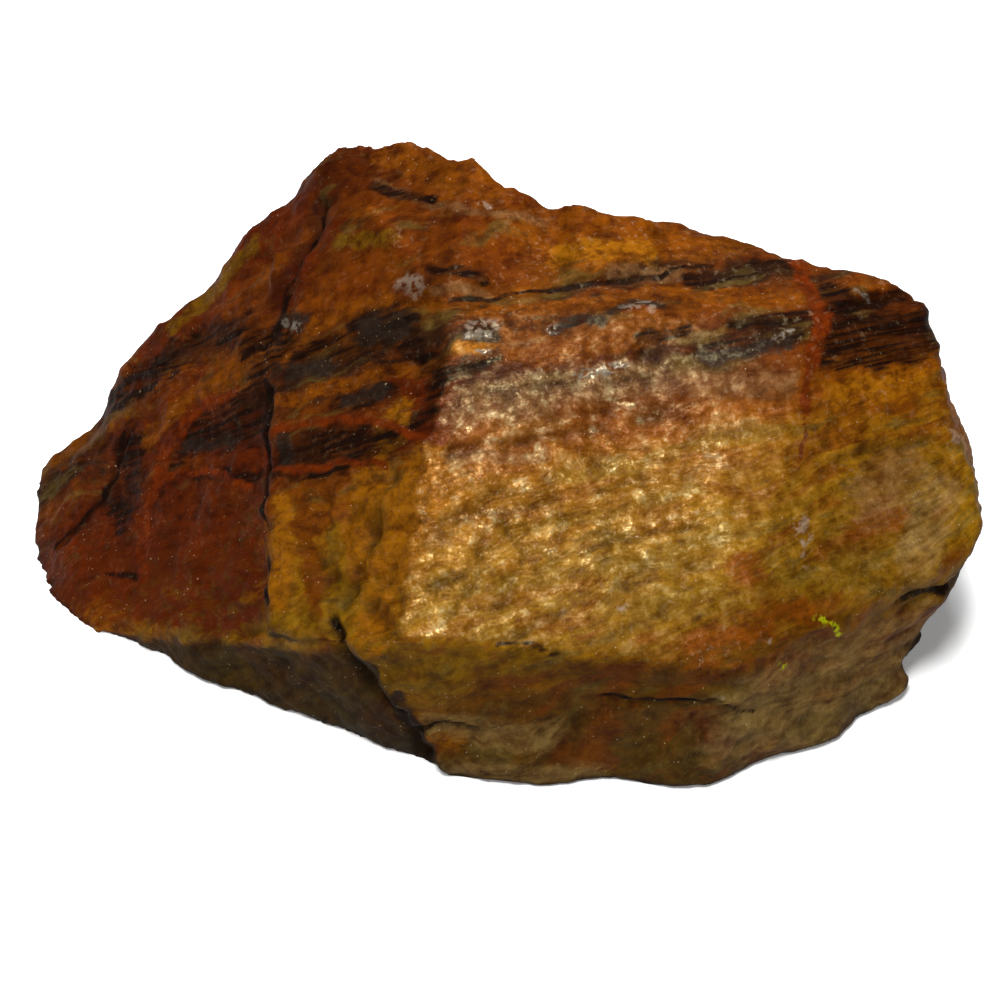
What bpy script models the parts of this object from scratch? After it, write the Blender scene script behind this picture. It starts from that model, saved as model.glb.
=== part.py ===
"""Rough tiger's eye: one broken block of banded quartz rock, resting on its flattest side.

The block is split out of cubes along named fracture planes, fused into one solid, given the
relief of its bedding, ledges, cracks and chipped edges, and thinned to a light faceted mesh.
+X runs along the block, +Y to its back, +Z up; the origin is under its middle, on the ground.
"""

import math

import bmesh
import bpy
from mathutils import Vector, noise

MM = 0.001

# Driving dimensions, in millimetres. The fracture planes below make a stone about 125 long.
ROUGH_CUBE = 300.0
GRAIN = 1.0
# The resting side: how thick a layer is pressed flat, and how high its calming reaches.
BASE_SKIN = 0.3
BASE_FADE = 3.0
FACET_COUNT = 9000

# Each fracture plane: the azimuth and elevation that it faces, in degrees, and a point on it.
# Azimuth 0 faces the front (-Y) and 90 faces the right (+X).
FRONT = (4, 52, -11.5, 0.0, 23.0)
LEFT = (-54, 44, -11.5, 0.0, 23.0)
LOWER = (-3, -5, 7.0, -0.5, 23.5)
CLIFF = (-88, 0, -28.5, 20.0, 29.0)
GROUND = (0, -90, 0.0, 0.0, 0.0)
SLOPE = (26, 62, -5.5, 34.5, 48.0)
BROW = (-56, 58, -7.5, 35.0, 48.0)
CREST_BACK = (143, 30, -13.0, 63.2, 55.0)
UPPER_LEFT = (-78, 44, -27.0, 50.5, 41.0)
LEFT_RIDGE = (-150, 17, -22.0, 69.0, 50.0)
FAR_LEFT = (-58, 37, -29.0, 28.0, 23.5)
BACK = (176, 4, 0.0, 71.0, 0.0)
SIDE_BACK = (157, 6, -6.0, 66.0, 0.0)
BEHIND_FRONT = (4, 52, -11.5, 0.7, 22.0)

BLOCKS = {
    # The body of the stone, under the large front face.
    "main": [
        FRONT, LEFT, LOWER, CLIFF, GROUND,
        (36, -10, 31.0, 0.5, 20.0),         # lower right face
        (32, 42, 38.0, 33.5, 46.5),         # right end, beside the front face
        (10, 81, -5.5, 32.0, 47.5),         # top
        (-66, -28, -19.5, 5.0, 21.0),       # undercut at the lower left
        (67, -18, 46.5, 11.5, 0.0),         # undercut at the lower right
        (88, 4, 59.5, 27.0, 27.0),          # far right
        (95, 21, 52.3, 39.0, 43.0),         # upper right
        (155, 33, 37.0, 45.5, 48.5),        # behind the top
        (176, 12, 0.0, 64.0, 0.0),          # back
        (170, -36, 0.0, 63.0, 6.0),         # under the back
        (110, -30, 52.0, 45.0, 6.0),        # under the far right
    ],
    # The lower wing at the left, set back behind the cliff.
    "left": [
        FAR_LEFT, UPPER_LEFT, LEFT_RIDGE, CREST_BACK, BACK, SIDE_BACK, BEHIND_FRONT, GROUND,
        (-54, 44, -11.5, 0.1, 23.0),        # just behind the left face
        (-56, 58, -7.5, 35.2, 47.8),        # just under the brow
        (-3, -5, 7.0, 1.5, 23.5),           # just behind the lower face
        (-84, 12, -66.0, 50.0, 4.0),        # tip
        (-32, -18, -28.5, 12.0, 13.0),      # overhang along the front
        (-55, -22, -59.5, 41.0, 0.0),       # overhang at the tip
        (-112, -36, -64.5, 54.0, 4.0),      # under the tip
        (176, -34, 0.0, 70.0, 7.0),         # under the back
        (90, 0, -6.0, 0.0, 0.0),            # joint inside the body
    ],
    # The foot of the left face, hanging over the undercut.
    "shoulder": [
        LEFT, BROW, SLOPE, CLIFF, UPPER_LEFT, BEHIND_FRONT,
        (-25, -40, -24.0, 7.0, 18.0),       # underside
        (-3, -5, 7.0, 2.5, 23.5),           # just behind the lower face
        (180, 0, 0.0, 45.0, 0.0),           # joint inside the body
        (90, 0, -8.0, 0.0, 0.0),            # joint inside the body
    ],
    # The high ground at the back left, with the slope that runs down to the top.
    "peak": [
        SLOPE, BROW, LEFT, FAR_LEFT, UPPER_LEFT, LEFT_RIDGE, CREST_BACK, BACK, SIDE_BACK,
        BEHIND_FRONT,
        (0, -90, 0.0, 0.0, 22.0),           # joint inside the body
        (80, 30, 12.5, 51.0, 51.0),         # right end of the slope
    ],
    # The low hump behind the top.
    "hump": [
        (5, 42, 15.0, 41.0, 50.0),          # front
        (28, 66, 15.0, 48.0, 52.3),         # top
        (76, 30, 18.0, 44.0, 52.0),         # right
        (-60, 55, 7.5, 46.0, 51.0),         # left
        (165, 28, 15.0, 50.0, 51.0),        # back
        (-90, 0, 3.0, 0.0, 0.0),            # joint inside the slope
        (0, -90, 0.0, 0.0, 42.0),           # joint inside the body
    ],
}

# Bedding: the direction straight across the bands, which climb towards the front.
BEDDING = Vector((-0.22, 0.69, 0.69)).normalized()
BED_WARP = 2.2
BED_WARP_SCALE = 24.0

# Relief: how deep each kind of roughness is and how wide, in millimetres.
SWELL_DEPTH = 1.0
SWELL_SCALE = 16.0
SCALLOP_DEPTH = 0.7
SCALLOP_SCALE = 6.0
LEDGE_STEP = 5.2
LEDGE_DEPTH = 0.95
LEDGE_UNEVEN = 0.45
LEDGE_UNEVEN_SCALE = 7.0
LEDGE_PATCH_SCALE = 14.0
LEDGE_LEAST = 0.15
CRACK_WANDER = 0.8
CRACK_WANDER_SCALE = 5.0
# Share of the roughness that the smooth front face keeps.
CALM_FACE = 0.35

# Knobs and chips: where they sit, how far they reach and how far they stand out.
KNOBS = [
    (-21.5, 67.0, 50.5, 5.0, 2.0),
    (-33.0, 67.5, 39.0, 7.0, 1.4),
    (-43.5, 68.0, 28.0, 6.0, 1.0),
    (-51.0, 66.5, 20.5, 5.0, 1.8),
    (-56.0, 60.5, 14.0, 4.0, -1.6),
    (-60.0, 58.5, 10.0, 4.0, -0.8),
    (-58.5, 38.0, 1.0, 8.0, 2.2),
    (-38.0, 21.0, 0.0, 7.0, 1.6),
    (-26.0, 14.0, 0.0, 5.0, 1.6),
    (52.5, 39.5, 43.0, 5.0, 0.8),
    (41.5, 9.0, 0.0, 8.0, 3.0),
    (50.0, 18.0, 0.0, 5.0, 1.4),
    (53.5, 24.0, 6.0, 4.0, -1.2),
    (12.5, 1.5, 0.0, 3.5, -2.6),
    (3.0, -0.5, 1.5, 6.0, 1.2),
    (24.0, -0.5, 0.0, 6.0, 1.8),
]

# Open cracks: the plane that each follows, a point on it, its reach, width and depth.
CRACKS = [
    (0, 86, 22.0, -0.5, 16.0, 10.0, 0.9, 0.7),
    (62, 20, -27.5, 48.0, 39.0, 7.0, 0.8, 0.7),
    (8, -34, 6.0, 37.5, 49.0, 24.0, 1.1, 0.9),
    (30, 70, 54.0, 19.0, 17.0, 8.0, 0.9, 1.0),
]

# Hollows under the stone, between the flat places that it rests on.
HOLLOW_DEPTH = 1.6
HOLLOW_SCALE = 15.0


def clear_scene():
    for item in list(bpy.data.objects):
        bpy.data.objects.remove(item, do_unlink=True)


def facing(azimuth, elevation):
    """Unit vector that a plane faces."""
    turn = math.radians(azimuth)
    rise = math.radians(elevation)
    return Vector((math.sin(turn) * math.cos(rise), -math.cos(turn) * math.cos(rise), math.sin(rise)))


def split_block(name, planes, collection):
    """A cube split along each fracture plane in turn, as a closed convex block."""
    mesh = bpy.data.meshes.new(name)
    rock = bmesh.new()
    bmesh.ops.create_cube(rock, size=ROUGH_CUBE * MM)
    for azimuth, elevation, x, y, z in planes:
        cut = bmesh.ops.bisect_plane(
            rock,
            geom=rock.verts[:] + rock.edges[:] + rock.faces[:],
            plane_co=Vector((x, y, z)) * MM,
            plane_no=facing(azimuth, elevation),
            clear_outer=True,
        )
        rim = [item for item in cut["geom_cut"] if isinstance(item, bmesh.types.BMEdge)]
        bmesh.ops.contextual_create(rock, geom=rim)
    bmesh.ops.recalc_face_normals(rock, faces=rock.faces)
    rock.to_mesh(mesh)
    rock.free()
    block = bpy.data.objects.new(name, mesh)
    collection.objects.link(block)
    return block


def fuse(blocks, collection):
    """One closed mesh from the overlapping blocks, resampled to an even grain."""
    stone = blocks[0]
    for block in blocks[1:]:
        union = stone.modifiers.new("fuse " + block.name, "BOOLEAN")
        union.operation = "UNION"
        union.solver = "EXACT"
        union.object = block
        block.hide_render = True
        block.display_type = "WIRE"
    grain = stone.modifiers.new("grain", "REMESH")
    grain.mode = "VOXEL"
    grain.voxel_size = GRAIN * MM
    bpy.context.view_layer.update()
    depsgraph = bpy.context.evaluated_depsgraph_get()
    mesh = bpy.data.meshes.new_from_object(stone.evaluated_get(depsgraph))
    mesh.name = "tigers_eye_stone"
    whole = bpy.data.objects.new("tigers_eye_stone", mesh)
    collection.objects.link(whole)
    for block in blocks:
        bpy.data.objects.remove(block, do_unlink=True)
    return whole


def smooth_step(low, high, value):
    part = min(max((value - low) / (high - low), 0.0), 1.0)
    return part * part * (3.0 - 2.0 * part)


def bed_height(point):
    """Height of a point across the gently waved bedding, in millimetres."""
    wave = noise.noise(point / BED_WARP_SCALE)
    return BEDDING.dot(point) + BED_WARP * wave


def ledge(height):
    """Sawtooth of the split beds: each bed stands out a little and steps back at its top."""
    uneven = LEDGE_UNEVEN * noise.noise(Vector((0.0, 0.0, height / LEDGE_UNEVEN_SCALE)))
    bed = height / LEDGE_STEP + uneven
    part = bed - math.floor(bed)
    rise = smooth_step(0.0, 0.8, part)
    drop = smooth_step(0.86, 1.0, part)
    return rise - drop


def knobs(point):
    """Raised and chipped places along the block's edges."""
    total = 0.0
    for x, y, z, reach, height in KNOBS:
        total += height * math.exp(-(point - Vector((x, y, z))).length_squared / reach ** 2)
    return total


def cracks(point):
    """Narrow grooves where the rock has opened along a plane."""
    total = 0.0
    wander = CRACK_WANDER * noise.noise(point / CRACK_WANDER_SCALE)
    for azimuth, elevation, x, y, z, reach, width, depth in CRACKS:
        offset = point - Vector((x, y, z))
        across = offset.dot(facing(azimuth, elevation)) + wander
        along = smooth_step(reach, 0.6 * reach, offset.length)
        total += depth * along * math.exp(-(across / width) ** 2)
    return total


def relief(point, normal):
    """How far the surface stands out at a point of the split block, in millimetres."""
    calm = smooth_step(0.86, 0.97, normal.dot(facing(FRONT[0], FRONT[1])))
    rough = 1.0 - (1.0 - CALM_FACE) * calm
    swell = SWELL_DEPTH * noise.noise(point / SWELL_SCALE)
    scallop = SCALLOP_DEPTH * noise.noise(point / SCALLOP_SCALE + Vector((7.0, 3.0, 1.0)))
    shift = Vector((0.0, 9.0, 4.0))
    patch = smooth_step(-0.15, 0.35, noise.noise(point / LEDGE_PATCH_SCALE + shift))
    share = LEDGE_LEAST + (1.0 - LEDGE_LEAST) * patch
    beds = LEDGE_DEPTH * share * (ledge(bed_height(point)) - 0.5)
    return swell + rough * (scallop + beds) + knobs(point) - cracks(point)


def hollow(point):
    """Height of the underside above the ground: flat where the stone rests, hollow between."""
    return HOLLOW_DEPTH * smooth_step(0.12, 0.5, noise.noise(point / HOLLOW_SCALE))


def carve(stone):
    """Moves every point along its normal by the relief, and keeps the resting side flat."""
    mesh = stone.data
    normals = [vertex.normal.copy() for vertex in mesh.vertices]
    for vertex, normal in zip(mesh.vertices, normals):
        point = vertex.co / MM
        move = normal * relief(point, normal)
        move.z *= smooth_step(0.0, BASE_FADE, point.z - BASE_SKIN)
        vertex.co += move * MM
        if point.z < BASE_SKIN or vertex.co.z < 0.0:
            vertex.co.z = hollow(point) * smooth_step(-0.6, -0.95, normal.z) * MM


def thin(stone):
    """Collapses the even grain to a light mesh of plain triangles."""
    mesh = stone.data
    rock = bmesh.new()
    rock.from_mesh(mesh)
    bmesh.ops.triangulate(rock, faces=rock.faces)
    rock.to_mesh(mesh)
    rock.free()
    thinner = stone.modifiers.new("thin", "DECIMATE")
    thinner.ratio = FACET_COUNT / len(mesh.polygons)
    bpy.context.view_layer.update()
    depsgraph = bpy.context.evaluated_depsgraph_get()
    light = bpy.data.meshes.new_from_object(stone.evaluated_get(depsgraph))
    stone.modifiers.remove(thinner)
    stone.data = light
    light.name = mesh.name


def settle(stone):
    """Flattens the resting side exactly and centres the stone over the origin."""
    mesh = stone.data
    for vertex in mesh.vertices:
        if vertex.co.z < 0.5 * BASE_SKIN * MM:
            vertex.co.z = 0.0
    xs = [vertex.co.x for vertex in mesh.vertices]
    ys = [vertex.co.y for vertex in mesh.vertices]
    middle = Vector(((min(xs) + max(xs)) / 2, (min(ys) + max(ys)) / 2, 0.0))
    for vertex in mesh.vertices:
        vertex.co -= middle


def quartz():
    """Golden brown banded quartz with a glassy break."""
    material = bpy.data.materials.new("banded_quartz")
    material.use_nodes = True
    shader = material.node_tree.nodes["Principled BSDF"]
    shader.inputs["Base Color"].default_value = (0.27, 0.12, 0.03, 1.0)
    shader.inputs["Roughness"].default_value = 0.38
    shader.inputs["Metallic"].default_value = 0.0
    return material


def build():
    clear_scene()
    part = bpy.data.collections.new("rough_tigers_eye")
    rough = bpy.data.collections.new("split_blocks")
    for collection in (part, rough):
        bpy.context.scene.collection.children.link(collection)
    blocks = [split_block(name, planes, rough) for name, planes in BLOCKS.items()]
    stone = fuse(blocks, part)
    carve(stone)
    thin(stone)
    settle(stone)
    stone.data.materials.clear()
    stone.data.materials.append(quartz())


build()
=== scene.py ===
"""Rough tiger's eye: the looks of one broken block of banded quartz rock.

Places and sizes are in millimetres, in the rough block's own frame: +X along the block, +Y to its
back, +Z up, with the ground at 0. The finished stone is centred where its solid stands.
"""

import math

import bpy
import numpy as np
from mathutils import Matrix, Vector, noise


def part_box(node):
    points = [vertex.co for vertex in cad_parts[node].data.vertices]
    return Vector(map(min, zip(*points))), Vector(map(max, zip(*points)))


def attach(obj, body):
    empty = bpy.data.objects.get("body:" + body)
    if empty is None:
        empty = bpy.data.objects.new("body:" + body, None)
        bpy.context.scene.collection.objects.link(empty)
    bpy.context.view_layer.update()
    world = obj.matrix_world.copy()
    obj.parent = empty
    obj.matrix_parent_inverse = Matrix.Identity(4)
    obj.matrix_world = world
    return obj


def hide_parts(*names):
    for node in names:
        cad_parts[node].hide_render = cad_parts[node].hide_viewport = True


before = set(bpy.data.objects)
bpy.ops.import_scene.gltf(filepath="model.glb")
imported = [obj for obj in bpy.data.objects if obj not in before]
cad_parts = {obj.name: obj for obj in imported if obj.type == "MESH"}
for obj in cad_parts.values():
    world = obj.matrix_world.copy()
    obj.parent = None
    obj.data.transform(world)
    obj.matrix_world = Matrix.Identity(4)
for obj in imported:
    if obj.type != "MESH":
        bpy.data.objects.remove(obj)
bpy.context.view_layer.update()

MM = 0.001
NODE = "tigers_eye_stone"
# The shifts of noise_vector are drawn afresh on each run unless they are given a seed.
SEED = 1
noise.seed_set(SEED)

# ---------------------------------------------------------------- the block and its planes

# The cube that each block is split from, the grain of the fused mesh and how often it is smoothed.
ROUGH_CUBE = 300.0
GRAIN = 0.58
ROUNDING_PASSES = 8
# Everything below the skin is the resting side, and the relief sets in above it within the fade.
BASE_SKIN = 0.3
BASE_FADE = 3.0
# How far a face turns down where the hollows of the resting side begin, and where they are full.
BASE_TURN = (-0.6, -0.95)

# Each fracture plane: the azimuth and elevation that it faces, in degrees, and a point on it.
# Azimuth 0 faces the front (-Y) and 90 faces the right (+X).
FRONT = (4, 52, -11.5, 0.0, 23.0)
LEFT = (-54, 44, -11.5, 0.0, 23.0)
LOWER = (-3, -5, 7.0, -0.5, 23.5)
CLIFF = (-88, 0, -28.5, 20.0, 29.0)
GROUND = (0, -90, 0.0, 0.0, 0.0)
SLOPE = (26, 62, -5.5, 34.5, 48.0)
BROW = (-56, 58, -7.5, 35.0, 48.0)
CREST_BACK = (143, 30, -13.0, 63.2, 55.0)
UPPER_LEFT = (-78, 44, -27.0, 50.5, 41.0)
LEFT_RIDGE = (-150, 17, -22.0, 69.0, 50.0)
FAR_LEFT = (-58, 37, -29.0, 28.0, 23.5)
BACK = (176, 4, 0.0, 71.0, 0.0)
SIDE_BACK = (157, 6, -6.0, 66.0, 0.0)
BEHIND_FRONT = (4, 52, -11.5, 0.7, 22.0)
LOWER_RIGHT = (36, -10, 31.0, 0.5, 20.0)
END = (32, 42, 38.0, 33.5, 46.5)

BLOCKS = {
    # The body of the stone, under the large front face.
    "main": [
        FRONT, LEFT, LOWER, CLIFF, GROUND, LOWER_RIGHT, END,
        (10, 81, -5.5, 32.0, 47.5),         # top
        (-66, -28, -19.5, 5.0, 21.0),       # undercut at the lower left
        (67, -18, 46.5, 11.5, 0.0),         # undercut at the lower right
        (88, 4, 59.5, 27.0, 27.0),          # far right
        (95, 21, 52.3, 39.0, 43.0),         # upper right
        (155, 33, 37.0, 45.5, 48.5),        # behind the top
        (176, 12, 0.0, 64.0, 0.0),          # back
        (170, -36, 0.0, 63.0, 6.0),         # under the back
        (110, -30, 52.0, 45.0, 6.0),        # under the far right
    ],
    # The lower wing at the left, set back behind the cliff.
    "left": [
        FAR_LEFT, UPPER_LEFT, LEFT_RIDGE, CREST_BACK, BACK, SIDE_BACK, BEHIND_FRONT, GROUND,
        (-54, 44, -11.5, 0.1, 23.0),        # just behind the left face
        (-56, 58, -7.5, 35.2, 47.8),        # just under the brow
        (-3, -5, 7.0, 1.5, 23.5),           # just behind the lower face
        (-84, 12, -66.0, 50.0, 4.0),        # tip
        (-32, -18, -28.5, 12.0, 13.0),      # overhang along the front
        (-55, -22, -59.5, 41.0, 0.0),       # overhang at the tip
        (-112, -36, -64.5, 54.0, 4.0),      # under the tip
        (176, -34, 0.0, 70.0, 7.0),         # under the back
        (90, 0, -6.0, 0.0, 0.0),            # joint inside the body
    ],
    # The foot of the left face, hanging over the undercut.
    "shoulder": [
        LEFT, BROW, SLOPE, CLIFF, UPPER_LEFT, BEHIND_FRONT,
        (-25, -40, -24.0, 7.0, 18.0),       # underside
        (-3, -5, 7.0, 2.5, 23.5),           # just behind the lower face
        (180, 0, 0.0, 45.0, 0.0),           # joint inside the body
        (90, 0, -8.0, 0.0, 0.0),            # joint inside the body
    ],
    # The high ground at the back left, with the slope that runs down to the top.
    "peak": [
        SLOPE, BROW, LEFT, FAR_LEFT, UPPER_LEFT, LEFT_RIDGE, CREST_BACK, BACK, SIDE_BACK,
        BEHIND_FRONT,
        (0, -90, 0.0, 0.0, 22.0),           # joint inside the body
        (80, 30, 12.5, 51.0, 51.0),         # right end of the slope
    ],
    # The low hump behind the top.
    "hump": [
        (5, 42, 15.0, 41.0, 50.0),          # front
        (28, 66, 15.0, 48.0, 52.3),         # top
        (76, 30, 18.0, 44.0, 52.0),         # right
        (-60, 55, 7.5, 46.0, 51.0),         # left
        (165, 28, 15.0, 50.0, 51.0),        # back
        (-90, 0, 3.0, 0.0, 0.0),            # joint inside the slope
        (0, -90, 0.0, 0.0, 42.0),           # joint inside the body
    ],
}

# ---------------------------------------------------------------- the beds and the relief

# Straight across the beds, along them and into the stone.
ACROSS = Vector((-0.22, 0.69, 0.69)).normalized()
ALONG = Vector((0.967, 0.203, 0.105)).normalized()
INTO = ACROSS.cross(ALONG).normalized()
BED_WARP = 2.2
BED_WARP_SCALE = 24.0
# To the right of its start the lower beds climb: not at all at the first height, and fully at the
# second.
BED_FAN = 0.0027
FAN_START = -15.0
FAN_FADE = (46.0, 22.0)

SWELL_DEPTH = 1.0
SWELL_SCALE = 16.0
SCALLOP_DEPTH = 0.7
SCALLOP_SCALE = 6.0
SCALLOP_SHIFT = Vector((7.0, 3.0, 1.0))
LEDGE_STEP = 5.2
LEDGE_DEPTH = 0.95
LEDGE_UNEVEN = 0.45
LEDGE_UNEVEN_SCALE = 7.0
LEDGE_LEAST = 0.15
# The parts of a bed's height over which its ledge comes out, and over which it steps back.
LEDGE_OUT = (0.0, 0.8)
LEDGE_BACK = (0.86, 1.0)
# How closely a face turns with the front face where it begins to be calm, and where it is.
CALM_TURN = (0.86, 0.97)
CALM_FACE = 0.35
# The tip of the left wing is worn smoother between these places along the block.
WORN = (-42.0, -54.0)
WORN_LOSS = 0.6

# Patches where the roughness comes and goes: their size, the shift of their noise, and its values
# where a patch begins and where it is full.
LEDGE_PATCHES = (14.0, (0.0, 9.0, 4.0), -0.15, 0.35)
CRINKLE_PATCHES = (8.0, (1.0, 7.0, 3.0), -0.35, 0.4)
STEP_PATCHES = (9.0, (2.0, 5.0, 8.0), 0.0, 0.5)
HOLLOW_PATCHES = (15.0, (0.0, 0.0, 0.0), 0.12, 0.5)

# Knobs and chips: where they sit, how far they reach and how far they stand out.
KNOBS = [
    (-21.5, 67.0, 50.5, 5.0, 2.0),
    (-33.0, 67.5, 39.0, 7.0, 1.4),
    (-43.5, 68.0, 28.0, 6.0, 1.0),
    (-51.0, 66.5, 20.5, 5.0, 1.8),
    (-56.0, 60.5, 14.0, 4.0, -1.6),
    (-60.0, 58.5, 10.0, 4.0, -0.8),
    (-58.5, 38.0, 1.0, 8.0, 2.2),
    (-38.0, 21.0, 0.0, 7.0, 1.6),
    (-26.0, 14.0, 0.0, 5.0, 1.6),
    (52.5, 39.5, 43.0, 5.0, 0.8),
    (41.5, 9.0, 0.0, 8.0, 3.0),
    (50.0, 18.0, 0.0, 5.0, 1.4),
    (53.5, 24.0, 6.0, 4.0, -1.2),
    (12.5, 1.5, 0.0, 3.5, -1.0),
    (3.0, -0.5, 1.5, 6.0, 1.2),
    (24.0, -0.5, 0.0, 6.0, 1.8),
]

# Open cracks: the plane that each follows, a point on it, its reach, width and depth.
CRACKS = [
    (0, 86, 22.0, -0.5, 16.0, 10.0, 0.9, 0.7),
    (62, 20, -27.5, 48.0, 39.0, 7.0, 0.8, 0.7),
    (8, -34, 6.0, 37.5, 49.0, 24.0, 1.1, 0.9),
    (30, 70, 54.0, 19.0, 17.0, 8.0, 0.9, 1.0),
]
CRACK_WANDER = 0.8
CRACK_WANDER_SCALE = 5.0
# The share of its reach from which a crack fades out.
CRACK_FADE = 0.6

# Grooves along broken lines: the reach of each to either side, its depth and its places.
CLEFTS = [
    (1.0, 0.7, [(-29, 40, 32), (-29, 32, 28), (-29, 24, 23), (-28, 14, 18)]),
    (1.8, 1.6, [(-20, 8, 20), (-19, 5, 19), (-16, 4, 13), (-12, 2, 10), (-9, 5, 2)]),
    (0.8, 0.6, [(12, 1, 14), (19, 0, 14), (26, -1, 14), (28, 0, 13)]),
    (0.7, 0.4, [(-1, 0, 23), (8, 0, 21)]),
    (0.9, 0.8, [(49, 14, 18), (51, 15, 19), (55, 18, 17)]),
    (0.8, 0.5, [(-10, 2, 8.5), (-6, 2, 9), (-3, 2, 7.5), (-3, 2, 6)]),
    (0.8, 0.6, [(-27, 51, 40), (-29, 47, 37)]),
    (1.0, 0.5, [(-6, 18, 38.5), (5, 20, 38.5), (13, 22, 38.5)]),
    (1.2, 0.6, [(28, 33, 46), (34, 33, 46), (40, 35, 47), (50, 40, 46)]),
    (2.4, 0.9, [(-23, 61, 47), (-24, 56, 46), (-26, 53, 43), (-29, 51, 39)]),
    (1.1, 0.45, [(-6, 18, 37), (0, 19, 37), (5, 20, 38), (13, 22, 38)]),
    (1.3, 0.35, [(-6, 12, 32), (0, 13, 32), (7, 14, 33), (17, 17, 34)]),
    (1.2, 0.4, [(-8, 5, 27), (-4, 7, 28), (2, 7, 27), (7, 9, 28), (14, 10, 30), (24, 12, 31)]),
    (1.6, 0.4, [(-4, 24, 42), (7, 26, 42), (17, 27, 42)]),
    (1.2, 0.35, [(2, 0, 23), (7, 3, 25), (14, 5, 26), (24, 8, 28)]),
    (1.4, 0.35, [(39, 20, 34), (46, 25, 33), (54, 29, 32)]),
    (1.5, 0.35, [(17, 23, 39), (27, 25, 41), (35, 25, 41)]),
    (2.0, 0.9, [(-19, 8, 21), (-15, 14, 27), (-12, 19, 34)]),
    (1.6, 0.7, [(-15, 6, 22), (-12, 10, 27), (-9, 13, 34)]),
    (1.6, 0.6, [(-22, 11, 20), (-19, 14, 25), (-17, 18, 30)]),
    (1.5, 0.7, [(-50, 52, 17), (-53, 47, 10), (-59, 45, 5)]),
    (1.1, 0.45, [(-5.5, 14, 33.5), (-2, 10.5, 30.5), (-3, 5.5, 26.5), (-6.5, 2, 24.5)]),
    (1.0, 0.4, [(0, 12, 31.5), (3, 9, 28.5), (0.5, 3, 25)]),
    (1.0, 0.35, [(5.5, 16.5, 35), (8, 12.5, 31.5), (5.5, 8, 28)]),
    (1.0, 0.35, [(10.5, 14.5, 33), (13.5, 10, 30), (12, 6, 27)]),
    (1.0, 0.3, [(16.5, 17, 34), (20, 13, 32), (18.5, 8.5, 29)]),
]

# How the clefts wander from their lines, as reach and size, and how their sides flare.
CLEFT_WANDER = (0.6, 2.5)
CLEFT_FLARE = 1.5

HOLLOW_DEPTH = 1.6
# The dark notch under the front edge: its middle, reach and height, and how far it is let down.
NOTCH = (12.5, 1.5, 4.0, 2.4)
NOTCH_DROP = 0.3

# Finer roughness, which only the finished surface has. The calm front face loses a share of its
# splinters and of its small steps, and gains crinkles.
SPLINTER_DEPTH = 0.2
SPLINTER_LENGTH = 6.0
SPLINTER_WIDTH = 1.3
SPLINTER_LOSS = 0.5
CRINKLE_DEPTH = 0.38
CRINKLE_SCALE = 2.4
# How much shorter a crinkle is than a splinter, its share on the rough faces and what the calm
# one gains, and its least share outside the crinkled patches and what they add.
CRINKLE_SHORTER = 1.4
CRINKLE_BASE = 0.5
CRINKLE_GAIN = 0.4
CRINKLE_LEAST = 0.3
CRINKLE_PATCHY = 0.9
# The share of the crinkles that are as long as they are wide.
CRINKLE_ROUND = 0.45
HUMMOCK_DEPTH = 0.2
HUMMOCK_SCALE = 1.3
HUMMOCK_SHIFT = Vector((4.0, 1.0, 6.0))
STEP_DEPTH = 0.3
STEP_HEIGHT = 2.1
STEP_LOSS = 0.8

# The ripples of the left face: the way across them, how closely a face turns with the left one,
# and the places along the block and across the beds between which they set in.
RIPPLE_ACROSS = Vector((0.78, 0.25, 0.57)).normalized()
RIPPLE_TURN = (0.9, 0.98)
RIPPLE_SIDE = (-29.5, -27.0)
RIPPLE_TOP = (46.0, 38.0)
RIPPLE_DEPTH = 0.8
RIPPLE_WIDTH = 3.4
RIPPLE_LENGTH = 18.0
RIPPLE_WAVER = 0.8
RIPPLE_WAVER_SCALE = 7.0

# The fine relief where a place starts to get the painted shade of low places, and where it is
# full.
LOW = (0.1, -0.5)


def facing(plane):
    """Unit vector that a plane faces."""
    turn = math.radians(plane[0])
    rise = math.radians(plane[1])
    level = math.cos(rise)
    return Vector((math.sin(turn) * level, -math.cos(turn) * level, math.sin(rise)))


def smooth_step(low, high, value):
    """0 at low, 1 at high and smooth between, where low may be the larger."""
    part = min(max((value - low) / (high - low), 0.0), 1.0)
    return part * part * (3.0 - 2.0 * part)


def patches(point, size, shift, low, high):
    """Broad patches of noise: 0 outside them and 1 inside."""
    return smooth_step(low, high, noise.noise(point / size + Vector(shift)))


def deselect():
    bpy.ops.object.select_all(action="DESELECT")


def split_block(name, planes):
    """A cube split along each fracture plane in turn, as a closed convex block."""
    deselect()
    bpy.ops.mesh.primitive_cube_add(size=ROUGH_CUBE * MM)
    block = bpy.context.object
    block.name = name
    bpy.ops.object.mode_set(mode="EDIT")
    for plane in planes:
        bpy.ops.mesh.select_all(action="SELECT")
        bpy.ops.mesh.bisect(
            plane_co=Vector(plane[2:]) * MM,
            plane_no=facing(plane),
            use_fill=True,
            clear_outer=True,
        )
    bpy.ops.mesh.select_all(action="SELECT")
    bpy.ops.mesh.normals_make_consistent(inside=False)
    bpy.ops.object.mode_set(mode="OBJECT")
    return block


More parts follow.
